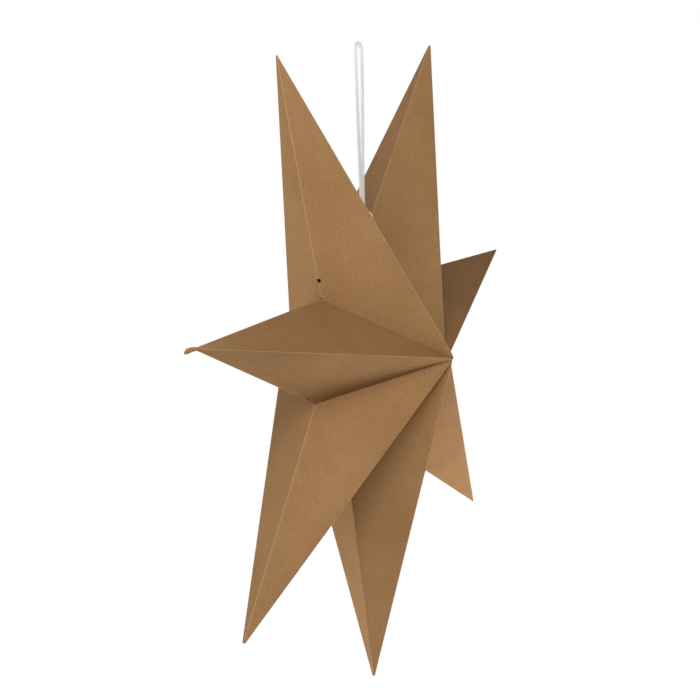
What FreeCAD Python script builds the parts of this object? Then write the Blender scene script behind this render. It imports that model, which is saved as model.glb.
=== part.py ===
"""Star of seven folded paper points, hung on a loop of braided cord.

Millimetres, +Z up. The origin is the top of the loop's inside, where it lies over its nail. The star's own axis
runs along Y below it, with the front at -Y, and +X is to the right as seen from the front.
"""
import FreeCAD, Part
import math
import os
from FreeCAD import Placement, Rotation, Vector

doc = FreeCAD.newDocument("folded_paper_star")
sheet = doc.addObject("Spreadsheet::Sheet", "Sizes")

# Driving dimensions of the star, its paper and its cord
STAR_SIZES = {
    "star_drop": 274.0,  # top of the loop's inside down to the centre of the ring of tips
    "star_aside": -5.5,  # the star hangs a little askew, so its axis passes beside the plumb line
    "star_behind": 1.5,
    "tip_reach": 303.0,  # ring centre to the corner where a point's fold lines would meet
    "notch_reach": 101.8,  # ring centre to the notch between two points
    "front_depth": 84.0,
    "back_depth": 84.0,
    "centre_rise": 3.5,  # the tips hang this much lower than the middle of the star
    "ring_step": 2.0,  # each point sits this much further forward than the one before it
    "corner_trim": 1.6,  # what the sharp corners at the star's axis lack, in front and behind
    "paper_thickness": 0.4,
    "tab_width": 12.0,
    "punch_radius": 1.8,
    "punch_from_notch": 16.0,
    "cord_hole_from_notch": 29.0,
    "notch_gap_radius": 0.9,
    "curl_width": 3.2,
    "curl_height": 2.7,
    "cord_diameter": 3.2,
    "loop_knot_width": 8.6,
    "loop_knot_height": 10.4,
    "end_knot_length": 6.4,
    "end_knot_width": 8.0,
    "knot_rounding": 2.6,
    "knot_clearance": 0.1,
}

# The seven points clockwise from the notch that the cord ties shut. Each was folded by hand and hangs a little out
# of true: lean is how far its tip stands back, swing is how far it has turned anticlockwise along the ring of tips,
# trim is how much of the sharp corner its blunt, open tip lacks, and front and back are how much further than in a
# true star its two corners at the star's axis reach.
POINTS = {
    "point_upper_right": {"lean": -12.0, "swing": 3.0, "trim": 4.0, "front": 0.5, "back": -1.5},
    "point_right": {"lean": 0.0, "swing": -6.0, "trim": 3.0, "front": 1.0, "back": 0.0},
    "point_lower_right": {"lean": 6.0, "swing": -2.5, "trim": 3.0, "front": 1.0, "back": 0.0},
    "point_bottom": {"lean": 6.0, "swing": 3.5, "trim": 5.0, "front": 2.0, "back": 0.0},
    "point_lower_left": {"lean": 0.0, "swing": 10.0, "trim": 6.0, "front": 0.5, "back": 2.0},
    "point_left": {"lean": -13.0, "swing": 9.0, "trim": 7.0, "front": 0.0, "back": 0.0},
    "point_upper_left": {"lean": 0.0, "swing": 3.0, "trim": 3.0, "front": -2.5, "back": -2.0},
}

# Two notches lie off the ring of the others, by so much outwards and to the back: the first and the last one that
# were glued, counted clockwise from the tied notch.
NOTCH_SHIFTS = {
    1: {"out": -2.0, "back": -0.5},
    6: {"out": 2.0, "back": 2.0},
}

cells = dict(STAR_SIZES)
for point_name, habits in POINTS.items():
    for habit, amount in habits.items():
        cells[point_name + "_" + habit] = amount
for notch_number, shifts in NOTCH_SHIFTS.items():
    for way, amount in shifts.items():
        cells["notch_%d_%s" % (notch_number, way)] = amount
for row, (alias, amount) in enumerate(cells.items(), start=1):
    sheet.set("A%d" % row, alias)
    sheet.set("B%d" % row, str(amount))
    sheet.setAlias("B%d" % row, alias)
doc.recompute()


def size(alias):
    """The value of one driving dimension."""
    return float(sheet.get(alias))


# Corners of the folded star
POINT_NAMES = list(POINTS)
POINT_COUNT = len(POINT_NAMES)
PITCH = 2 * math.pi / POINT_COUNT
FIRST_ANGLE = math.pi / 2 - PITCH / 2
RING_CENTRE = Vector(size("star_aside"), size("star_behind"), -size("star_drop"))


def around_ring(angle, reach, depth):
    """A place on the star, from its angle above +X, its reach from the ring's centre and its place along Y."""
    return RING_CENTRE + Vector(reach * math.cos(angle), depth, reach * math.sin(angle))


def base_depth(number):
    """How far back a point's open base sits. The ring is glued shut everywhere but at the top notch, and has crept
    there, so the first point after it sits furthest back and the last one furthest forward."""
    return size("ring_step") * ((POINT_COUNT - 1) / 2 - number)


def notch_corner(number):
    """The notch before a point. The top notch is tied at the middle of the step between its two points."""
    if number in (0, POINT_COUNT):
        depth = 0.0
    else:
        depth = (base_depth(number - 1) + base_depth(number)) / 2
    reach = size("notch_reach")
    if number in NOTCH_SHIFTS:
        reach += size("notch_%d_out" % number)
        depth += size("notch_%d_back" % number)
    angle = FIRST_ANGLE + PITCH / 2 - number * PITCH
    return around_ring(angle, reach, depth)


def tip_corner(number):
    """The corner where the four fold lines of a point meet."""
    name = POINT_NAMES[number]
    angle = FIRST_ANGLE - number * PITCH + size(name + "_swing") / size("tip_reach")
    return around_ring(angle, size("tip_reach"), size(name + "_lean"))


def middle_corner(number, side):
    """Where a point's front or back ridge meets the star's axis: side is -1 in front and 1 behind."""
    face = "front" if side < 0 else "back"
    depth = size(face + "_depth") + size("%s_%s" % (POINT_NAMES[number], face))
    return RING_CENTRE + Vector(0, base_depth(number) + side * depth, size("centre_rise"))


def plane_normal(corners, inside):
    """Unit normal of three corners' plane, pointing to the side where the place inside lies."""
    normal = (corners[1] - corners[0]).cross(corners[2] - corners[0])
    normal.normalize()
    if normal.dot(inside - corners[0]) < 0:
        normal = -normal
    return normal


def crease_place(number, notch, distance):
    """A place on the side crease from a notch to a point's tip, and the way straight out of the crease there."""
    tip = tip_corner(number)
    along = tip - notch
    along.normalize()
    middle = RING_CENTRE + Vector(0, 0, size("centre_rise"))
    outwards = Vector(0, 0, 0)
    for side in (-1, 1):
        outwards -= plane_normal([tip, notch, middle_corner(number, side)], middle)
    outwards.normalize()
    return notch + along * distance, outwards


# Paper points
TRIM_CLEARANCE = 0.8  # how far a block that trims a corner reaches past it


def add_feature(name, shape):
    """A document object that holds a shape worked out from the sheet."""
    feature = doc.addObject("Part::Feature", name)
    feature.Shape = shape
    return feature


def add_inner_block(name, corners, inside):
    """A large block that ends one paper thickness inside a panel, where the hollow of the point ends."""
    block = doc.addObject("Part::Box", name)
    for side in ("Length", "Width", "Height"):
        block.setExpression(side, "4 * Sizes.tip_reach")
    half = 2 * size("tip_reach")
    normal = plane_normal(corners, inside)
    turn = Rotation(Vector(0, 0, 1), normal)
    start = corners[0] + normal * size("paper_thickness") - turn.multVec(Vector(half, half, 0))
    block.Placement = Placement(start, turn)
    return block


MOUTH_PAST_AXIS = 0.1  # how far the mouth's section runs past the star's axis, as a share of its slanted sides


def add_mouth(name, front, back, notches):
    """The open base of a point, between the inner edges of its two glue tabs. The tabs are strips along the valley
    lines from front to notch to back, and both end at the same two places on the star's axis."""
    width = size("tab_width")
    ends = []
    for end, other in ((front, back), (back, front)):
        axis_way = other - end
        reach = max(width / math.sin(axis_way.getAngle(notch - end)) for notch in notches)
        axis_way.normalize()
        ends.append(end + axis_way * reach)
    inner_corners = []
    for notch in notches:
        to_front = front - notch
        to_back = back - notch
        to_front.normalize()
        to_back.normalize()
        inner_corners.append(notch + (to_front + to_back) * (width / math.sin(to_front.getAngle(to_back))))
    middle = (inner_corners[0] + inner_corners[1]) / 2
    section = [middle] + [end + (end - middle) * MOUTH_PAST_AXIS for end in ends]
    mouth = doc.addObject("Part::Extrusion", name)
    mouth.Base = add_feature(name + "_section", Part.Face(Part.makePolygon(section + section[:1])))
    mouth.DirMode = "Custom"
    mouth.Dir = inner_corners[1] - inner_corners[0]
    mouth.Symmetric = True
    mouth.Solid = True
    mouth.setExpression("LengthFwd", "2 * Sizes.notch_reach")
    return mouth


def closed_solid(triangles):
    """The solid inside a closed set of triangles."""
    faces = [Part.Face(Part.makePolygon(list(corners) + [corners[0]])) for corners in triangles]
    return Part.Solid(Part.makeShell(faces))


def add_punch(name, place, way, radius_alias):
    """A round punch through the paper, centred on a fold line."""
    punch = doc.addObject("Part::Cylinder", name)
    punch.setExpression("Radius", "Sizes." + radius_alias)
    punch.setExpression("Height", "4 * Sizes." + radius_alias)
    start = place - way * (2 * size(radius_alias))
    punch.Placement = Placement(start, Rotation(Vector(0, 0, 1), way))
    return punch


def add_corner_block(name, corner, side):
    """A block that trims the corner of a point at the star's axis square to that axis."""
    block = doc.addObject("Part::Box", name)
    block.setExpression("Length", "20 * Sizes.corner_trim")
    block.setExpression("Width", "Sizes.corner_trim + %g" % TRIM_CLEARANCE)
    block.setExpression("Height", "20 * Sizes.corner_trim")
    half = 10 * size("corner_trim")
    start = -TRIM_CLEARANCE if side < 0 else -size("corner_trim")
    block.Placement = Placement(corner + Vector(-half, start, -half), Rotation())
    return block


def diamond(place, along, width, height):
    """A small four-cornered outline square to the way along, for the squeezed end of a point."""
    across = along.cross(Vector(0, 0, 1))
    across.normalize()
    upright = across.cross(along)
    corners = [place + across * width / 2, place + upright * height / 2]
    corners += [place - across * width / 2, place - upright * height / 2]
    return Part.makePolygon(corners + corners[:1])


# The left point's tip is squeezed flat and curls back and down, in steps from where the trimmed point ends.
CURL_STEPS = [Vector(2.9, 0.1, -0.6), Vector(-2.8, 2.6, -0.5), Vector(-4.0, 5.4, -1.5), Vector(-4.3, 7.6, -3.3)]
CURL_TAPER = [1.0, 0.95, 0.9, 0.75]


def curled_tip(trimmed_end):
    """The curled end of the left point, a ruled skin through diamonds along its route."""
    route = [trimmed_end + step for step in CURL_STEPS]
    outlines = []
    for number, place in enumerate(route):
        before = route[max(number - 1, 0)]
        after = route[min(number + 1, len(route) - 1)]
        along = after - before
        along.normalize()
        taper = CURL_TAPER[number]
        outlines.append(diamond(place, along, size("curl_width") * taper, size("curl_height") * taper))
    return Part.makeLoft(outlines, True, True)


def add_folded_point(number):
    """One point of the star: four panels round a hollow, with a glue tab along each side of its open base.
    The paper is what lies between the outside of the fold and the hollow."""
    name = POINT_NAMES[number]
    tip = tip_corner(number)
    front = middle_corner(number, -1)
    back = middle_corner(number, 1)
    notches = {"left": notch_corner(number), "right": notch_corner(number + 1)}
    inside = (tip + front + back + notches["left"] + notches["right"]) / 5
    left, right = notches["left"], notches["right"]
    skin = [(tip, left, front), (tip, right, front), (tip, left, back), (tip, right, back)]
    skin += [(front, left, back), (front, right, back)]
    outside = add_feature(name + "_outside", closed_solid(skin))
    hollow = doc.addObject("Part::MultiCommon", name + "_hollow")
    hollow.Shapes = [add_inner_block("%s_inner_%d" % (name, panel), corners, inside)
                     for panel, corners in enumerate(skin, start=1)]
    shell = doc.addObject("Part::Cut", name + "_shell")
    shell.Base = outside
    shell.Tool = hollow

    axis = tip - (left + right) / 2
    axis.normalize()
    turn = Rotation(Vector(0, 0, 1), axis)
    trimmed_end = tip - axis * size(name + "_trim")
    block = size(name + "_trim") + TRIM_CLEARANCE
    trim_block = doc.addObject("Part::Box", name + "_trim_block")
    trim_block.setExpression("Length", "2 * (Sizes.%s_trim + %g)" % (name, TRIM_CLEARANCE))
    trim_block.setExpression("Width", "2 * (Sizes.%s_trim + %g)" % (name, TRIM_CLEARANCE))
    trim_block.setExpression("Height", "Sizes.%s_trim + %g" % (name, TRIM_CLEARANCE))
    trim_block.Placement = Placement(trimmed_end - turn.multVec(Vector(block, block, 0)), turn)

    cuts = [trim_block, add_mouth(name + "_mouth", front, back, [left, right])]
    cuts.append(add_corner_block(name + "_front_block", front, -1))
    cuts.append(add_corner_block(name + "_back_block", back, 1))
    for hand, notch in notches.items():
        way = notch - RING_CENTRE
        way.normalize()
        cuts.append(add_punch("%s_notch_gap_%s" % (name, hand), notch, way, "notch_gap_radius"))
    for hand, distance in PUNCHED[name]:
        place, way = crease_place(number, notches[hand], size(distance))
        cuts.append(add_punch("%s_punch_%s" % (name, hand), place, way, "punch_radius"))
    tool = doc.addObject("Part::MultiFuse", name + "_cuts")
    tool.Shapes = cuts
    trimmed = doc.addObject("Part::Cut", name + "_trimmed")
    trimmed.Base = shell
    trimmed.Tool = tool

    if name != "point_left":
        trimmed.Label = name
        return trimmed
    curled = doc.addObject("Part::Fuse", name + "_curled")
    curled.Base = trimmed
    curled.Tool = add_feature(name + "_curl", curled_tip(trimmed_end))
    curled.Label = name
    return curled


# The holes punched through the side creases: by the tied notch for the cord, and two spare ones
PUNCHED = {name: [] for name in POINT_NAMES}
PUNCHED["point_upper_right"] = [("left", "cord_hole_from_notch")]
PUNCHED["point_upper_left"] = [("right", "cord_hole_from_notch"), ("left", "punch_from_notch")]
PUNCHED["point_left"] = [("left", "punch_from_notch")]

subparts = [add_folded_point(number) for number in range(POINT_COUNT)]


# Hanging cord. It comes out of the last point's side crease, turns up at the knot, makes the loop and goes back down
# through the knot into the first point's side crease. The places are chosen by hand along the real cord.
CORD_ROUTE = [
    Vector(-27.6, 1.3, -152.7),
    Vector(-20.6, 1.6, -147.2),
    Vector(-13.2, 0.8, -147.2),
    Vector(-5.25, 0.0, -146.9),
    Vector(-5.3, 0.0, -136.5),
    Vector(-5.2, 0.0, -115.0),
    Vector(-5.5, 0.1, -74.0),
    Vector(-5.6, 0.0, -33.0),
    Vector(-5.8, 0.0, -12.5),
    Vector(-5.6, 0.0, -0.7),
    Vector(0.0, 0.0, 2.5),
    Vector(5.6, 0.0, -0.7),
    Vector(5.7, 0.0, -12.5),
    Vector(4.7, 0.0, -33.0),
    Vector(2.1, -0.1, -74.0),
    Vector(-0.9, 0.0, -115.0),
    Vector(-1.7, 0.0, -136.5),
    Vector(-1.75, 0.0, -146.8),
    Vector(5.6, -0.1, -146.7),
    Vector(8.6, -0.1, -146.6),
    Vector(16.0, -0.1, -152.1),
]
ARC_SHARE = 0.45


def rounded_route(places):
    """A wire of straight runs joined by tangent arcs, each as large as its two runs allow, and the arcs' radii."""
    edges = []
    radii = []
    run_start = places[0]
    for before, corner, after in zip(places, places[1:], places[2:]):
        way_in = corner - before
        way_out = after - corner
        reach = ARC_SHARE * min(way_in.Length, way_out.Length)
        turn = way_in.getAngle(way_out)
        radius = reach / math.tan(turn / 2)
        way_in.normalize()
        way_out.normalize()
        arc_start = corner - way_in * reach
        arc_end = corner + way_out * reach
        to_centre = way_out - way_in
        to_centre.normalize()
        middle = corner + to_centre * (radius / math.cos(turn / 2) - radius)
        edges.append(Part.LineSegment(run_start, arc_start).toShape())
        edges.append(Part.Arc(arc_start, middle, arc_end).toShape())
        radii.append(radius)
        run_start = arc_end
    edges.append(Part.LineSegment(run_start, places[-1]).toShape())
    return Part.Wire(edges), radii


cord_line, cord_radii = rounded_route(CORD_ROUTE)
cord_path = add_feature("hanging_cord_line", cord_line)
cord_section = doc.addObject("Part::Circle", "hanging_cord_section")
cord_section.setExpression("Radius", "Sizes.cord_diameter / 2")
cord_section.Placement = Placement(CORD_ROUTE[0], Rotation(Vector(0, 0, 1), CORD_ROUTE[1] - CORD_ROUTE[0]))
hanging_cord = doc.addObject("Part::Sweep", "hanging_cord_sweep")
hanging_cord.Sections = [cord_section]
hanging_cord.Spine = (cord_path, ["Edge%d" % (number + 1) for number in range(len(cord_line.Edges))])
hanging_cord.Solid = True
hanging_cord.Frenet = False
hanging_cord.Label = "hanging_cord"


# Knots in the cord: one that ties the two strands together, and a stopper on each end inside its point
def add_knot(name, place, way, length_alias, width_alias):
    """A closed knot drawn up into a round-ended barrel, with the cord's own space cut out of it."""
    barrel = doc.addObject("Part::Cylinder", name + "_barrel")
    barrel.setExpression("Radius", "Sizes.%s / 2" % width_alias)
    barrel.setExpression("Height", "Sizes." + length_alias)
    barrel.Placement = Placement(place - way * (size(length_alias) / 2), Rotation(Vector(0, 0, 1), way))
    doc.recompute()
    rounded = doc.addObject("Part::Fillet", name + "_rounded")
    rounded.Base = barrel
    rims = [number for number, edge in enumerate(barrel.Shape.Edges, start=1) if edge.isClosed()]
    rounded.Edges = [(rim, size("knot_rounding"), size("knot_rounding")) for rim in rims]
    knot = doc.addObject("Part::Cut", name + "_cut")
    knot.Base = rounded
    knot.Tool = hanging_cord
    knot.Label = name
    return knot


def stopper_place(number, notch):
    """Where an end knot sits: drawn up against both panels inside the crease that its strand comes out of."""
    hole, way_out = crease_place(number, notch, size("cord_hole_from_notch"))
    middle = middle_corner(number, -1)
    normal = plane_normal([tip_corner(number), notch, middle], RING_CENTRE + Vector(0, 0, size("centre_rise")))
    facing = -normal.dot(way_out)
    sideways = math.sqrt(1 - facing ** 2)
    rounding = size("knot_rounding")
    reach = facing * (size("end_knot_length") / 2 - rounding) + sideways * (size("end_knot_width") / 2 - rounding)
    seat = (reach + rounding + size("paper_thickness") + size("knot_clearance")) / facing
    return hole - way_out * seat, way_out


TOP_NOTCH = notch_corner(0)
LOOP_KNOT_PLACE = Vector(-3.5, 0.0, -143.5)
right_stopper = stopper_place(0, TOP_NOTCH)
left_stopper = stopper_place(POINT_COUNT - 1, TOP_NOTCH)
subparts += [
    hanging_cord,
    add_knot("loop_knot", LOOP_KNOT_PLACE, Vector(0, 0, 1), "loop_knot_height", "loop_knot_width"),
    add_knot("end_knot_right", right_stopper[0], right_stopper[1], "end_knot_length", "end_knot_width"),
    add_knot("end_knot_left", left_stopper[0], left_stopper[1], "end_knot_length", "end_knot_width"),
]
doc.recompute()

for item in doc.Objects:
    bad = [flag for flag in item.State if flag in ("Invalid", "Error")]
    if bad:
        raise RuntimeError("%s is %s" % (item.Label, bad))
os.makedirs("parts", exist_ok=True)
for item in subparts:
    shape = item.Shape
    if shape.isNull() or not shape.isValid():
        raise RuntimeError("%s has no valid shape" % item.Label)
    print("%-20s %d solid, %.1f mm3, %d faces" % (item.Label, len(shape.Solids), shape.Volume, len(shape.Faces)))
    shape.exportStep("parts/%s.step" % item.Label)

cord_area = math.pi * (size("cord_diameter") / 2) ** 2
print("cord length %.1f mm, volume %.1f of %.1f mm3" % (
    cord_line.Length, hanging_cord.Shape.Volume, cord_area * cord_line.Length))
print("cord radii in mm: " + ", ".join("%.1f" % radius for radius in cord_radii))
holes = (crease_place(0, TOP_NOTCH, size("cord_hole_from_notch")),
         crease_place(POINT_COUNT - 1, TOP_NOTCH, size("cord_hole_from_notch")))
for place, way in holes:
    print("cord hole at (%.2f, %.2f, %.2f), way out (%.3f, %.3f, %.3f)" % (*place, *way))
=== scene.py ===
"""Looks of the folded paper star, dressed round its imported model. Metres, in the model's own frame."""

import bmesh
import bpy
from math import cos, pi, radians, sin
from mathutils import Matrix, Vector


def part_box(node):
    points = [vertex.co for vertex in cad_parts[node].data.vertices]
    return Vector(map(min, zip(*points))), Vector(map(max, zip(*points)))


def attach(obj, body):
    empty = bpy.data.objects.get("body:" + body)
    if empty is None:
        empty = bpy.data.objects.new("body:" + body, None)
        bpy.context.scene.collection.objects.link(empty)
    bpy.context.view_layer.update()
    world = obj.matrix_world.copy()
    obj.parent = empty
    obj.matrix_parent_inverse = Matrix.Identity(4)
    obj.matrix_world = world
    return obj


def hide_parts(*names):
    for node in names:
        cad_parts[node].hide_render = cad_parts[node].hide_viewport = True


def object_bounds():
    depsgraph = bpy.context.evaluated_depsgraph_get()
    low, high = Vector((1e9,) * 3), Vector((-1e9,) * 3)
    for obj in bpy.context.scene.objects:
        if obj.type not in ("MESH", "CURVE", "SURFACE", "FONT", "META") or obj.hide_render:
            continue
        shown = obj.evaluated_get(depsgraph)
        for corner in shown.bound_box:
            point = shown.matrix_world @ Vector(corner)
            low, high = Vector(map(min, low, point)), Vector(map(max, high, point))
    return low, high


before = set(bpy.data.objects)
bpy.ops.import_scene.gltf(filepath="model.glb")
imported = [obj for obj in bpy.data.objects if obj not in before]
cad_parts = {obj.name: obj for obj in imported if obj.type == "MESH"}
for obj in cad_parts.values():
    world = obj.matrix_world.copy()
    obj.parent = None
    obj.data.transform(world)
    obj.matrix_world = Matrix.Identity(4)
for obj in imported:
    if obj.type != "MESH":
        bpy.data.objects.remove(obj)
cad_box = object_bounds()


# Camera
# It stands at the photo's place: to the front left of the star, level with the top of the cord, with a long lens.
STAR_CENTRE = Vector((-0.0055, 0.0015, -0.274))
CAMERA_AZIMUTH = radians(-61.608)
CAMERA_ELEVATION = radians(9.710)
CAMERA_ROLL = radians(-2.246)
CAMERA_DISTANCE = 1.6199
CAMERA_ASIDE = -0.0138
CAMERA_RISE = 0.0067
FOCAL_PIXELS = 1821.6
PHOTO_PIXELS = 700
SENSOR_WIDTH = 36.0

camera_data = bpy.data.cameras.new("camera")
camera_data.sensor_width = SENSOR_WIDTH
camera_data.lens = SENSOR_WIDTH * FOCAL_PIXELS / PHOTO_PIXELS
camera_data.clip_end = 30.0
camera = bpy.data.objects.new("camera", camera_data)
bpy.context.scene.collection.objects.link(camera)
turned = Matrix.Rotation(CAMERA_AZIMUTH, 4, "Z") @ Matrix.Rotation(pi / 2 - CAMERA_ELEVATION, 4, "X")
turned = turned @ Matrix.Rotation(CAMERA_ROLL, 4, "Z")
camera_place = STAR_CENTRE + turned @ Vector((CAMERA_ASIDE, CAMERA_RISE, CAMERA_DISTANCE))
camera.matrix_world = Matrix.Translation(camera_place) @ turned
bpy.context.scene.camera = camera


# Materials are written as expressions on sockets.
class Socket:
    """A node's output that can be used in sums. Numbers stay plain until they meet a socket."""

    def __init__(self, tree, link):
        self.tree = tree
        self.link = link

    def math(self, operation, *others, swap=False):
        values = list(others)
        ordered = values + [self] if swap else [self] + values
        return add_node(self.tree, "ShaderNodeMath", {"operation": operation}, dict(enumerate(ordered)))

    def __add__(self, other):
        return self.math("ADD", other)

    def __sub__(self, other):
        return self.math("SUBTRACT", other)

    def __mul__(self, other):
        return self.math("MULTIPLY", other)

    def __truediv__(self, other):
        return self.math("DIVIDE", other)

    def __rsub__(self, other):
        return self.math("SUBTRACT", other, swap=True)

    __radd__ = __add__
    __rmul__ = __mul__

    def clear_range(self, low, high):
        """0 where the value is at low, 1 where it is at high, smooth between."""
        return add_node(self.tree, "ShaderNodeMapRange", {"interpolation_type": "SMOOTHSTEP"},
                        {"Value": self, "From Min": low, "From Max": high})


def add_node(tree, kind, settings=None, inputs=None, output=0):
    """Adds a node with its settings and its inputs, and gives one of its outputs, by its name or number."""
    node = tree.nodes.new(kind)
    for name, value in (settings or {}).items():
        setattr(node, name, value)
    for name, value in (inputs or {}).items():
        if isinstance(value, Socket):
            tree.links.new(value.link, node.inputs[name])
        else:
            node.inputs[name].default_value = value
    return Socket(tree, node.outputs[output])


def blend_colour(tree, share, start, end):
    """A colour between two others."""
    inputs = {"Factor": share, 6: start, 7: end}
    return add_node(tree, "ShaderNodeMix", {"data_type": "RGBA"}, inputs, output=2)


def new_finish(name):
    """An empty material with its surface shader."""
    material = bpy.data.materials.new(name)
    material.use_nodes = True
    tree = material.node_tree
    return material, tree, tree.nodes["Principled BSDF"]


# Hanging cord
# A white braided cord, twelve yarns round a soft core. It is knotted inside one point, comes out through its
# crease, is tied in a loop over the notch and goes back in through the next point's crease.
CORD_DIAMETER = 0.0032
CORD_ROUTE = [
    (-0.0276, 0.0013, -0.1527),
    (-0.0206, 0.0016, -0.1472),
    (-0.0132, 0.0008, -0.1472),
    (-0.00525, 0.0, -0.1469),
    (-0.0053, 0.0, -0.1365),
    (-0.0052, 0.0, -0.1150),
    (-0.0055, 0.0001, -0.0740),
    (-0.0056, 0.0, -0.0330),
    (-0.0058, 0.0, -0.0125),
    (-0.0056, 0.0, -0.0007),
    (0.0, 0.0, 0.0025),
    (0.0056, 0.0, -0.0007),
    (0.0057, 0.0, -0.0125),
    (0.0047, 0.0, -0.0330),
    (0.0021, -0.0001, -0.0740),
    (-0.0009, 0.0, -0.1150),
    (-0.0017, 0.0, -0.1365),
    (-0.00175, 0.0, -0.1468),
    (0.0056, -0.0001, -0.1467),
    (0.0086, -0.0001, -0.1466),
    (0.0110, -0.0001, -0.1484),
    (0.0160, -0.0001, -0.1521),
]
BRAID_PITCH = 0.0090
YARNS_EACH_WAY = 6
YARN_WAVE = 0.00017
YARN_HALF_WIDTH = 0.00046
CORE_BELOW_YARNS = 0.0004
YARN_HALF_THICKNESS = 0.00024
SAMPLES_PER_WAVE = 6


def smooth_line(name, places):
    """Points along one smooth line with the given places as its control points."""
    curve = bpy.data.curves.new(name, "CURVE")
    curve.dimensions = "3D"
    curve.resolution_u = 24
    spline = curve.splines.new("NURBS")
    spline.points.add(len(places) - 1)
    for control, place in zip(spline.points, places):
        control.co = (*place, 1.0)
    spline.order_u = 3
    spline.use_endpoint_u = True
    holder = bpy.data.objects.new(name, curve)
    bpy.context.scene.collection.objects.link(holder)
    line = bpy.data.meshes.new_from_object(holder)
    points = [vertex.co.copy() for vertex in line.vertices]
    bpy.data.objects.remove(holder)
    bpy.data.meshes.remove(line)
    return points


def even_steps(points, count):
    """The same line in equal steps, with the frames of a tube that doesn't twist along it."""
    reach = [0.0]
    for before, after in zip(points, points[1:]):
        reach.append(reach[-1] + (after - before).length)
    places = []
    piece = 0
    for number in range(count + 1):
        wanted = reach[-1] * number / count
        while piece < len(points) - 2 and reach[piece + 1] < wanted:
            piece += 1
        share = (wanted - reach[piece]) / max(reach[piece + 1] - reach[piece], 1e-9)
        places.append(points[piece].lerp(points[piece + 1], min(share, 1.0)))
    across = Vector((0.0, 1.0, 0.0))
    frames = []
    for number, place in enumerate(places):
        along = places[min(number + 1, count)] - places[max(number - 1, 0)]
        along.normalize()
        across = (across - along * across.dot(along)).normalized()
        frames.append((place, along, across, along.cross(across)))
    return frames, reach[-1]


def braid(name, points, radius):
    """Twelve flat yarns, half of them each way round, over and under each other along a line."""
    frames, length = even_steps(points, 1)
    turns = length / BRAID_PITCH * (CORD_DIAMETER / 2) / radius
    count = int(turns * YARNS_EACH_WAY * SAMPLES_PER_WAVE)
    frames, length = even_steps(points, count)
    thinner = radius / (CORD_DIAMETER / 2)
    ride = radius - (YARN_WAVE + YARN_HALF_THICKNESS) * thinner
    vertices = []
    faces = []
    for way in (-1, 1):
        for yarn in range(YARNS_EACH_WAY):
            start = len(vertices)
            for number, (place, along, across, upright) in enumerate(frames):
                turn = 2 * pi * turns * number / count
                angle = 2 * pi * yarn / YARNS_EACH_WAY + way * turn
                out = across * cos(angle) + upright * sin(angle)
                round_way = upright * cos(angle) - across * sin(angle)
                rise = ride + way * YARN_WAVE * thinner * cos(YARNS_EACH_WAY * turn)
                middle = place + out * rise
                lean = (along * BRAID_PITCH * thinner + round_way * (way * 2 * pi * ride)).normalized()
                side = lean.cross(out)
                wide = side * YARN_HALF_WIDTH * thinner
                thick = out * YARN_HALF_THICKNESS * thinner
                vertices += [middle + wide, middle + thick, middle - wide, middle - thick]
                if number:
                    nearer = start + (number - 1) * 4
                    farther = nearer + 4
                    for corner in range(4):
                        following = (corner + 1) % 4
                        flat = (nearer + corner, farther + corner, farther + following, nearer + following)
                        faces.append(flat)
            last = start + count * 4
            faces.append(tuple(start + corner for corner in range(4)))
            faces.append(tuple(last + 3 - corner for corner in range(4)))
    sides = 10
    core = ride - CORE_BELOW_YARNS * thinner
    start = len(vertices)
    core_frames = frames[::SAMPLES_PER_WAVE] + frames[-1:]
    for place, along, across, upright in core_frames:
        for side in range(sides):
            angle = 2 * pi * side / sides
            vertices.append(place + (across * cos(angle) + upright * sin(angle)) * core)
    for number in range(len(core_frames) - 1):
        for side in range(sides):
            nearer = start + number * sides
            following = (side + 1) % sides
            faces.append((nearer + side, nearer + following, nearer + sides + following, nearer + sides + side))
    faces.append(tuple(start + sides - 1 - side for side in range(sides)))
    last = start + (len(core_frames) - 1) * sides
    faces.append(tuple(last + side for side in range(sides)))
    mesh = bpy.data.meshes.new(name)
    mesh.from_pydata(vertices, [], faces)
    mesh.validate()
    piece = bpy.data.objects.new(name, mesh)
    bpy.context.scene.collection.objects.link(piece)
    bpy.ops.object.select_all(action="DESELECT")
    bpy.context.view_layer.objects.active = piece
    piece.select_set(True)
    bpy.ops.object.mode_set(mode="EDIT")
    bpy.ops.mesh.select_all(action="SELECT")
    bpy.ops.mesh.normals_make_consistent(inside=False)
    bpy.ops.object.mode_set(mode="OBJECT")
    mesh.shade_smooth()
    return piece


CORD_WHITE = (0.95, 0.935, 0.93, 1.0)
CORD_SHADE = (0.84, 0.82, 0.815, 1.0)

cord_finish, tree, surface = new_finish("braided_cord")
where = add_node(tree, "ShaderNodeTexCoord", output="Object")
fluff = add_node(tree, "ShaderNodeTexNoise", {}, {"Vector": where, "Scale": 1800.0, "Detail": 3.0})
soiling = add_node(tree, "ShaderNodeTexNoise", {}, {"Vector": where, "Scale": 90.0, "Detail": 2.0})
cord_tone = (fluff.clear_range(0.35, 0.7) * 0.7 + soiling.clear_range(0.3, 0.7) * 0.3)
cord_colour = blend_colour(tree, cord_tone, CORD_SHADE, CORD_WHITE)
tree.links.new(cord_colour.link, surface.inputs["Base Color"])
cord_bump = add_node(tree, "ShaderNodeBump", {}, {"Height": fluff, "Strength": 0.5, "Distance": 0.0001})
tree.links.new(cord_bump.link, surface.inputs["Normal"])
surface.inputs["Roughness"].default_value = 0.85
surface.inputs["Sheen Weight"].default_value = 0.15
surface.inputs["Specular IOR Level"].default_value = 0.3

cord_line = smooth_line("cord_line", CORD_ROUTE)
hanging_cord = braid("braided_hanging_cord", cord_line, CORD_DIAMETER / 2)
hanging_cord.data.materials.append(cord_finish)
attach(hanging_cord, "root")
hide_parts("hanging_cord")


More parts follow.
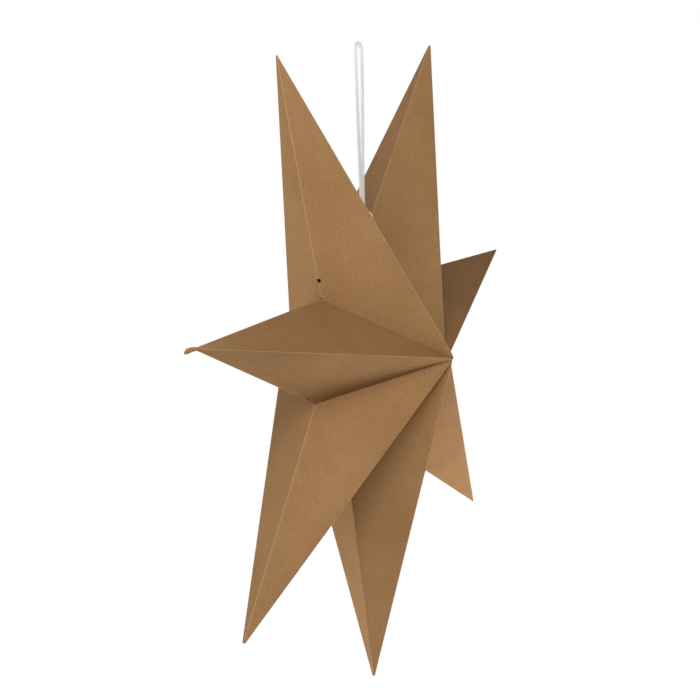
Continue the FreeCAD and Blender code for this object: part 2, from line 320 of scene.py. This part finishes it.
# Knots
# Each is an overhand knot in the same cord, drawn tight: one over the notch that holds both strands together,
# and one inside each of the two upper points, where it stops the cord's end.
KNOT_STEPS = 96


def overhand_knot(name, node, squeeze, cord_radius, turn):
    """A three-lobed knot of braided cord that fills its node's space."""
    low, high = (Vector(corner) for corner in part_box(node))
    middle = (low + high) / 2
    half = (high - low) / 2
    places = []
    for number in range(KNOT_STEPS + 1):
        angle = 2 * pi * number / KNOT_STEPS
        wide = Vector((sin(angle) + 2 * sin(2 * angle), -sin(3 * angle), cos(angle) - 2 * cos(2 * angle))) / 3
        wide.y *= squeeze
        places.append(wide)
    turned_places = [turn @ place for place in places]
    room = Vector(max(abs(place[axis]) for place in turned_places) for axis in range(3))
    reach = Vector((half[axis] - cord_radius) / room[axis] for axis in range(3))
    line = [middle + Vector(place[axis] * reach[axis] for axis in range(3)) for place in turned_places]
    knot = braid(name, line, cord_radius)
    knot.data.materials.append(cord_finish)
    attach(knot, "root")
    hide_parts(node)
    return knot


KNOTS = {
    "loop_knot": (0.9, 0.00135, Matrix.Rotation(radians(20), 3, "Z")),
    "end_knot_left": (0.8, 0.0012, Matrix.Rotation(radians(50), 3, "Y")),
    "end_knot_right": (0.8, 0.0012, Matrix.Rotation(radians(-50), 3, "Y")),
}
knots = [overhand_knot("tied_" + node, node, *shape) for node, shape in KNOTS.items()]


# Kraft paper
# Stiff unbleached paper, 0.4 mm thick: brown, with short fibres, cloudy patches, dark and light specks, and a pale
# line along each ridge and side crease and at each notch, where the surface fibres have broken. A fainter pale
# line along each valley round the base is a painted highlight, where the folded edge catches light.
KRAFT = (0.336, 0.181, 0.073, 1.0)
KRAFT_PALE = (0.438, 0.253, 0.117, 1.0)
KRAFT_DEEP = (0.270, 0.139, 0.053, 1.0)
FOLD_PALE = (0.530, 0.330, 0.175, 1.0)
SPECK_DARK = (0.150, 0.082, 0.036, 1.0)
SPECK_LIGHT = (0.480, 0.300, 0.160, 1.0)

kraft_finish, tree, surface = new_finish("kraft_paper")
where = add_node(tree, "ShaderNodeTexCoord", output="Object")
ridge_gap = add_node(tree, "ShaderNodeAttribute", {"attribute_name": "ridge_gap"}, output="Fac")
crease_gap = add_node(tree, "ShaderNodeAttribute", {"attribute_name": "crease_gap"}, output="Fac")
valley_gap = add_node(tree, "ShaderNodeAttribute", {"attribute_name": "valley_gap"}, output="Fac")
fold_gap = ridge_gap.math("MINIMUM", crease_gap)
notch_gap = crease_gap.math("MAXIMUM", valley_gap)
clouds = add_node(tree, "ShaderNodeTexNoise", {}, {"Vector": where, "Scale": 22.0, "Detail": 3.0})
patches = add_node(tree, "ShaderNodeTexNoise", {},
                   {"Vector": where, "Scale": 420.0, "Detail": 4.0, "Roughness": 0.7})
fibres = add_node(tree, "ShaderNodeTexNoise", {},
                  {"Vector": where, "Scale": 1500.0, "Detail": 3.0, "Distortion": 1.2})
tone = clouds * 0.30 + patches * 0.55 + fibres * 0.30 - 0.08
colour = blend_colour(tree, tone.clear_range(0.30, 0.70), KRAFT_DEEP, KRAFT_PALE)
colour = blend_colour(tree, 0.40, colour, KRAFT)
speck_field = add_node(tree, "ShaderNodeTexNoise", {}, {"Vector": where, "Scale": 420.0, "Detail": 1.0})
dark_specks = speck_field.clear_range(0.735, 0.77)
light_specks = 1.0 - speck_field.clear_range(0.25, 0.285)
colour = blend_colour(tree, dark_specks * 0.5, colour, SPECK_DARK)
colour = blend_colour(tree, light_specks * 0.3, colour, SPECK_LIGHT)
wear_and_highlight_noise = add_node(tree, "ShaderNodeTexNoise", {}, {"Vector": where, "Scale": 130.0, "Detail": 4.0})
on_fold = 1.0 - fold_gap.clear_range(0.0002, 0.0007)
# Painted highlight: a pale line along each valley round the base, standing for the folded edge catching light.
valley_highlight = 1.0 - valley_gap.clear_range(0.0002, 0.0006)
at_notch = 1.0 - notch_gap.clear_range(0.0012, 0.0030)
# Mixes the rubbed pale ridges, creases and notches with the painted highlight along the valleys.
wear_and_highlight_lines = on_fold.math("MAXIMUM", valley_highlight * 0.6).math("MAXIMUM", at_notch * 0.5)
wear_and_highlight = wear_and_highlight_lines * (0.50 + wear_and_highlight_noise.clear_range(0.3, 0.65) * 0.25)
colour = blend_colour(tree, wear_and_highlight, colour, FOLD_PALE)
beside_fold = ridge_gap.clear_range(0.0006, 0.0009) - ridge_gap.clear_range(0.0013, 0.0017)
crack_noise = add_node(tree, "ShaderNodeTexNoise", {}, {"Vector": where, "Scale": 300.0, "Detail": 1.0})
cracks = beside_fold * crack_noise.clear_range(0.60, 0.68)
colour = blend_colour(tree, cracks * 0.6, colour, SPECK_DARK)
tree.links.new(colour.link, surface.inputs["Base Color"])
grain = fibres * 0.6 + patches * 0.4
kraft_bump = add_node(tree, "ShaderNodeBump", {}, {"Height": grain, "Strength": 0.35, "Distance": 0.00012})
tree.links.new(kraft_bump.link, surface.inputs["Normal"])
surface.inputs["Roughness"].default_value = 0.88
surface.inputs["Specular IOR Level"].default_value = 0.12


# Folded points
# Each is one sheet scored and folded into a hollow four-sided spike, with a strip along each side of its open base
# turned in and glued to its neighbour's. The last strips, at the top notch, are held by the cord.
TIP_REACH = 0.303
NOTCH_REACH = 0.1018
FRONT_DEPTH = 0.084
BACK_DEPTH = 0.084
CENTRE_RISE = 0.0035
RING_STEP = 0.002
PAPER_THICKNESS = 0.0004
TAB_WIDTH = 0.012
PUNCH_RADIUS = 0.0018
PUNCH_FROM_NOTCH = 0.016
CORD_HOLE_FROM_NOTCH = 0.029
NOTCH_GAP_RADIUS = 0.0009
CORNER_TRIM = 0.0016
FOLD_ROUNDING = 0.00032
PANEL_CUTS = 11
PANEL_BOW = 0.0016
LOOSE_FROM_FOLD = 0.02
SAME_PLACE = 0.00001
CUTTER_RADII = 5
POINTS = {
    "point_upper_right": {"lean": -0.012, "swing": 0.003, "trim": 0.004, "front": 0.0005, "back": -0.0015},
    "point_right": {"lean": 0.0, "swing": -0.006, "trim": 0.003, "front": 0.001, "back": 0.0},
    "point_lower_right": {"lean": 0.006, "swing": -0.0025, "trim": 0.003, "front": 0.001, "back": 0.0},
    "point_bottom": {"lean": 0.006, "swing": 0.0035, "trim": 0.005, "front": 0.002, "back": 0.0},
    "point_lower_left": {"lean": 0.0, "swing": 0.010, "trim": 0.006, "front": 0.0005, "back": 0.002},
    "point_left": {"lean": -0.013, "swing": 0.009, "trim": 0.007, "front": 0.0, "back": 0.0},
    "point_upper_left": {"lean": 0.0, "swing": 0.003, "trim": 0.003, "front": -0.0025, "back": -0.002},
}
NOTCH_SHIFTS = {1: (-0.002, -0.0005), 6: (0.002, 0.002)}
CURL_RING_REACH = 0.004
CURL_STEPS = [
    (Vector((-0.0028, 0.0026, 0.0)), 0.80, 1.30),
    (Vector((-0.0040, 0.0056, -0.0010)), 0.60, 1.45),
    (Vector((-0.0043, 0.0084, -0.0032)), 0.45, 0.75),
]
PUNCHED = {
    "point_upper_right": [("left", CORD_HOLE_FROM_NOTCH)],
    "point_upper_left": [("right", CORD_HOLE_FROM_NOTCH), ("left", PUNCH_FROM_NOTCH)],
    "point_left": [("left", PUNCH_FROM_NOTCH)],
}
POINT_NAMES = list(POINTS)
PITCH = 2 * pi / len(POINT_NAMES)
FIRST_ANGLE = pi / 2 - PITCH / 2


def around_ring(angle, reach, depth):
    """A place on the star, from its angle above +X, its reach from the ring's centre and its place along Y."""
    return STAR_CENTRE + Vector((reach * cos(angle), depth, reach * sin(angle)))


def base_depth(number):
    """How far back a point's open base sits, in the ring's slow creep from the first point to the last."""
    return RING_STEP * ((len(POINT_NAMES) - 1) / 2 - number)


def notch_corner(number):
    """The notch before a point. The top notch is tied at the middle of the step between its two points."""
    tied = number in (0, len(POINT_NAMES))
    depth = 0.0 if tied else (base_depth(number - 1) + base_depth(number)) / 2
    out, back = NOTCH_SHIFTS.get(number, (0.0, 0.0))
    return around_ring(FIRST_ANGLE + PITCH / 2 - number * PITCH, NOTCH_REACH + out, depth + back)


def point_corners(number):
    """A point's tip and the four corners of its open base."""
    habits = POINTS[POINT_NAMES[number]]
    angle = FIRST_ANGLE - number * PITCH + habits["swing"] / TIP_REACH
    middle = STAR_CENTRE + Vector((0.0, base_depth(number), CENTRE_RISE))
    return {
        "tip": around_ring(angle, TIP_REACH, habits["lean"]),
        "left": notch_corner(number),
        "right": notch_corner(number + 1),
        "front": middle - Vector((0.0, FRONT_DEPTH + habits["front"], 0.0)),
        "back": middle + Vector((0.0, BACK_DEPTH + habits["back"], 0.0)),
    }


def corner_name(place):
    """Which corner a vertex of the plain four-sided cone becomes."""
    if abs(place.x) > abs(place.y):
        return "right" if place.x > 0 else "left"
    return "back" if place.y > 0 else "front"


def move_to(mesh, edit_data, vertex, place):
    """Moves one vertex as by hand."""
    for other in mesh.verts:
        other.select = False
    vertex.select = True
    mesh.select_flush_mode()
    bmesh.update_edit_mesh(edit_data)
    bpy.ops.transform.translate(value=place - vertex.co)


def line_gap(place, start, end):
    """Distance of a place from the straight line between two others."""
    along = end - start
    share = max(0.0, min(1.0, (place - start).dot(along) / along.length_squared))
    return (place - start - along * share).length


def fold_lines(corners):
    """The folds of a point: its two ridges, its two side creases and the four valley lines round its base."""
    return {
        "ridge_gap": [(corners[name], corners["tip"]) for name in ("front", "back")],
        "crease_gap": [(corners[name], corners["tip"]) for name in ("left", "right")],
        "valley_gap": [(corners[notch], corners[middle])
                       for notch in ("left", "right") for middle in ("front", "back")],
    }


def select_edges(mesh, edit_data, wanted):
    """Selects the edges that a test picks out and nothing else."""
    bpy.ops.mesh.select_all(action="DESELECT")
    for edge in mesh.edges:
        if wanted(edge):
            edge.select = True
    mesh.select_flush_mode()
    bmesh.update_edit_mesh(edit_data)


def turn_in_tab(point, corners, notch):
    """Extrudes the base's two edges at one notch into the strip that is glued to the neighbour."""
    edit_data = point.data
    mesh = bmesh.from_edit_mesh(edit_data)
    ends = {"front": corners["front"], "back": corners["back"], notch: corners[notch]}

    def at_corner(vertex):
        return any((vertex.co - place).length < SAME_PLACE for place in ends.values())

    select_edges(mesh, edit_data, lambda edge: all(at_corner(vertex) for vertex in edge.verts) and any(
        (vertex.co - corners[notch]).length < SAME_PLACE for vertex in edge.verts))
    bpy.ops.mesh.extrude_region_move(TRANSFORM_OT_translate={"value": (0.0, 0.0, 0.0)})
    mesh = bmesh.from_edit_mesh(edit_data)
    fresh = [vertex for vertex in mesh.verts if vertex.select]
    to_front = (corners["front"] - corners[notch]).normalized()
    to_back = (corners["back"] - corners[notch]).normalized()
    goals = {notch: corners[notch] + (to_front + to_back) * (TAB_WIDTH / sin(to_front.angle(to_back)))}
    for end, other in (("front", "back"), ("back", "front")):
        axis_way = corners[other] - corners[end]
        valley_way = corners[notch] - corners[end]
        goals[end] = corners[end] + axis_way.normalized() * (TAB_WIDTH / sin(axis_way.angle(valley_way)))
    for vertex in fresh:
        name = min(ends, key=lambda end: (vertex.co - ends[end]).length)
        move_to(mesh, edit_data, vertex, goals[name])


def punch(point, holes):
    """Punches round holes through a point's paper: each has a place, a way through and a radius."""
    bpy.ops.object.select_all(action="DESELECT")
    cutters = []
    for place, way, radius in holes:
        bpy.ops.mesh.primitive_cylinder_add(vertices=24, radius=radius, depth=radius * CUTTER_RADII,
                                            location=place)
        cutters.append(bpy.context.object)
        cutters[-1].rotation_euler = way.to_track_quat("Z", "Y").to_euler()
    for cutter in cutters:
        cutter.select_set(True)
    bpy.ops.object.join()
    cutter = bpy.context.object
    cut = point.modifiers.new("punch", "BOOLEAN")
    cut.operation = "DIFFERENCE"
    cut.solver = "EXACT"
    cut.use_self = True
    cut.object = cutter
    bpy.context.view_layer.objects.active = point
    bpy.ops.object.modifier_apply(modifier=cut.name)
    bpy.data.objects.remove(cutter)


def crease_way(corners, notch):
    """The way straight out of a side crease."""
    inside = (corners["tip"] + corners["front"] + corners["back"] + corners["left"] + corners["right"]) / 5
    out = Vector((0.0, 0.0, 0.0))
    for middle in ("front", "back"):
        normal = (corners[notch] - corners["tip"]).cross(corners[middle] - corners["tip"]).normalized()
        out += normal if normal.dot(inside - corners["tip"]) < 0 else -normal
    return out.normalized()


def trim_corners(corners):
    """Cuts off the sharp corners at the star's axis, in front and behind."""
    for middle, way in (("front", -1.0), ("back", 1.0)):
        bpy.ops.mesh.select_all(action="SELECT")
        place = corners[middle] - Vector((0.0, way * CORNER_TRIM, 0.0))
        bpy.ops.mesh.bisect(plane_co=place, plane_no=(0.0, way, 0.0), use_fill=False, clear_outer=True)


def curl_tip(point, axis, trimmed_end):
    """Draws the trimmed end of a point out into a flattened tail that curls to the back."""

    def ring_frame(along):
        across = along.cross(Vector((0.0, 0.0, 1.0))).normalized()
        return across, across.cross(along)

    mesh = bmesh.from_edit_mesh(point.data)
    places = [trimmed_end] + [trimmed_end + step for step, thin, broad in CURL_STEPS]
    across, upright = ring_frame(axis)
    select_edges(mesh, point.data, lambda edge: edge.is_boundary and all(
        (vertex.co - trimmed_end).length < CURL_RING_REACH for vertex in edge.verts))
    ring = {}
    for vertex in mesh.verts:
        if vertex.select:
            ring[vertex] = ((vertex.co - trimmed_end).dot(across), (vertex.co - trimmed_end).dot(upright))
    flat = [(vertex.co.copy(), sides) for vertex, sides in ring.items()]
    for number, (step, thin, broad) in enumerate(CURL_STEPS, start=1):
        bpy.ops.mesh.extrude_region_move(TRANSFORM_OT_translate={"value": (0.0, 0.0, 0.0)})
        mesh = bmesh.from_edit_mesh(point.data)
        fresh = [vertex for vertex in mesh.verts if vertex.select]
        ahead = places[min(number + 1, len(CURL_STEPS))] - places[number - 1]
        across, upright = ring_frame(ahead.normalized())
        moved = []
        for vertex in fresh:
            before, sides = min(flat, key=lambda entry: (entry[0] - vertex.co).length)
            place = places[number] + across * sides[0] * thin + upright * sides[1] * broad
            moved.append((place, sides))
            move_to(mesh, point.data, vertex, place)
        flat = moved
        select_edges(mesh, point.data, lambda edge: edge.is_boundary and all(
            vertex in fresh for vertex in edge.verts))


def fold_point(number):
    """Shapes one point from a plain four-sided cone."""
    name = POINT_NAMES[number]
    corners = point_corners(number)
    trim = POINTS[name]["trim"]
    axis = (corners["tip"] - (corners["left"] + corners["right"]) / 2).normalized()
    bpy.ops.object.select_all(action="DESELECT")
    bpy.ops.mesh.primitive_cone_add(vertices=4, radius1=NOTCH_REACH, radius2=trim, depth=TIP_REACH,
                                    end_fill_type="NOTHING")
    point = bpy.context.object
    point.name = "folded_" + name
    point.data.name = point.name
    bpy.ops.object.mode_set(mode="EDIT")
    mesh = bmesh.from_edit_mesh(point.data)
    goals = []
    for vertex in mesh.verts:
        corner = corners[corner_name(vertex.co)]
        if vertex.co.z < 0:
            goals.append((vertex, corner))
        else:
            share = trim / (corners["tip"] - corner).dot(axis)
            goals.append((vertex, corners["tip"].lerp(corner, share)))
    for vertex, place in goals:
        move_to(mesh, point.data, vertex, place)
    for notch in ("left", "right"):
        turn_in_tab(point, corners, notch)
    bpy.ops.mesh.select_all(action="SELECT")
    bpy.ops.mesh.subdivide(number_cuts=PANEL_CUTS)
    trim_corners(corners)

    folds = fold_lines(corners)
    all_folds = [fold for lines in folds.values() for fold in lines]
    mesh = bmesh.from_edit_mesh(point.data)

    def on_fold(edge):
        return any(all(line_gap(vertex.co, *fold) < SAME_PLACE for vertex in edge.verts) for fold in all_folds)

    select_edges(mesh, point.data, on_fold)
    bpy.ops.mesh.bevel(offset=FOLD_ROUNDING, segments=2, affect="EDGES", clamp_overlap=True)
    if name == "point_left":
        curl_tip(point, axis, corners["tip"] - axis * trim)
    bpy.ops.mesh.select_all(action="SELECT")
    bpy.ops.mesh.normals_make_consistent(inside=False)
    bpy.ops.object.mode_set(mode="OBJECT")

    loose = point.vertex_groups.new(name="loose")
    for vertex in point.data.vertices:
        gap = min(line_gap(vertex.co, *fold) for fold in all_folds)
        loose.add([vertex.index], min(1.0, gap / LOOSE_FROM_FOLD), "REPLACE")
    buckle = bpy.data.textures.new(name + "_buckle", "CLOUDS")
    buckle.noise_scale = 0.09
    bow = point.modifiers.new("bow", "DISPLACE")
    bow.texture = buckle
    bow.texture_coords = "LOCAL"
    bow.strength = PANEL_BOW
    bow.mid_level = 0.55
    bow.vertex_group = "loose"
    bpy.ops.object.modifier_apply(modifier=bow.name)
    thick = point.modifiers.new("paper", "SOLIDIFY")
    thick.thickness = PAPER_THICKNESS
    thick.offset = -1.0
    bpy.ops.object.modifier_apply(modifier=thick.name)

    holes = [(corners[notch], (corners[notch] - STAR_CENTRE).normalized(), NOTCH_GAP_RADIUS)
             for notch in ("left", "right")]
    for notch, distance in PUNCHED.get(name, []):
        along = (corners["tip"] - corners[notch]).normalized()
        holes.append((corners[notch] + along * distance, crease_way(corners, notch), PUNCH_RADIUS))
    punch(point, holes)

    for family, lines in folds.items():
        gaps = point.data.attributes.new(family, "FLOAT", "POINT")
        for vertex in point.data.vertices:
            gaps.data[vertex.index].value = min(line_gap(vertex.co, *line) for line in lines)
    point.data.materials.clear()
    point.data.materials.append(kraft_finish)
    bpy.context.view_layer.objects.active = point
    bpy.ops.object.select_all(action="DESELECT")
    point.select_set(True)
    bpy.ops.object.shade_smooth_by_angle(angle=radians(35))
    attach(point, "root")
    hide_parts(name)


for number in range(len(POINT_NAMES)):
    fold_point(number)


# Studio
# A plain pale floor well under the star, a surround that looks white but gives almost no light, large soft lamps,
# and two smaller ones nearer to the left point and under the lower right one.
FLOOR_BELOW = 1.5
FLOOR_SIZE = 14.0
WHITE = (1.0, 1.0, 1.0, 1.0)

bpy.ops.object.select_all(action="DESELECT")
bpy.ops.mesh.primitive_plane_add(size=FLOOR_SIZE, location=(0.0, 0.0, cad_box[0][2] - FLOOR_BELOW))
floor = bpy.context.object
floor.name = "floor"
floor_finish, tree, surface = new_finish("floor_paint")
surface.inputs["Base Color"].default_value = (0.86, 0.86, 0.86, 1.0)
surface.inputs["Roughness"].default_value = 1.0
surface.inputs["Specular IOR Level"].default_value = 0.0
seen_directly = add_node(tree, "ShaderNodeLightPath", output="Is Camera Ray")
glow = add_node(tree, "ShaderNodeEmission", {}, {"Color": WHITE, "Strength": 1.0})
lit = Socket(tree, surface.outputs[0])
both = add_node(tree, "ShaderNodeAddShader", {}, {0: lit, 1: glow})
seen = add_node(tree, "ShaderNodeMixShader", {}, {0: seen_directly, 1: lit, 2: both})
tree.links.new(seen.link, tree.nodes["Material Output"].inputs["Surface"])
floor.data.materials.append(floor_finish)

world = bpy.data.worlds.new("white_surround")
bpy.context.scene.world = world
world.use_nodes = True
tree = world.node_tree
camera_ray = add_node(tree, "ShaderNodeLightPath", output="Is Camera Ray")
glossy_ray = add_node(tree, "ShaderNodeLightPath", output="Is Glossy Ray")
SURROUND_LIGHT = 0.01
shown = camera_ray.math("MAXIMUM", glossy_ray)
strength = SURROUND_LIGHT + shown * (1.0 - SURROUND_LIGHT)
tree.links.new(strength.link, tree.nodes["Background"].inputs["Strength"])
tree.nodes["Background"].inputs["Color"].default_value = WHITE

LAMPS = {
    "upper_left_lamp": ((-1.9, -1.4, 0.9), 1.6, 15.0),
    "left_lamp": ((-2.5, 0.0, 0.0), 1.6, 20.0),
    "low_back_lamp": ((-0.6, 1.8, -1.5), 1.6, 41.0),
    "low_right_lamp": ((1.8, -1.6, -0.8), 1.6, 4.0),
    "near_left_lamp": ((-1.0, -0.6, 0.45), 0.6, 9.8),
    "near_low_lamp": ((0.3, -0.4, -0.8), 0.3, 3.8),
    "back_right_lamp": ((2.2, 1.6, 0.4), 1.6, 30.0),
}
for name, (place, size, power) in LAMPS.items():
    light = bpy.data.lights.new(name, "AREA")
    light.size = size
    light.energy = power
    holder = bpy.data.objects.new(name, light)
    holder.location = place
    holder.rotation_euler = (Vector(place) - STAR_CENTRE).to_track_quat("Z", "Y").to_euler()
    bpy.context.scene.collection.objects.link(holder)

bpy.context.scene.view_settings.view_transform = "Standard"
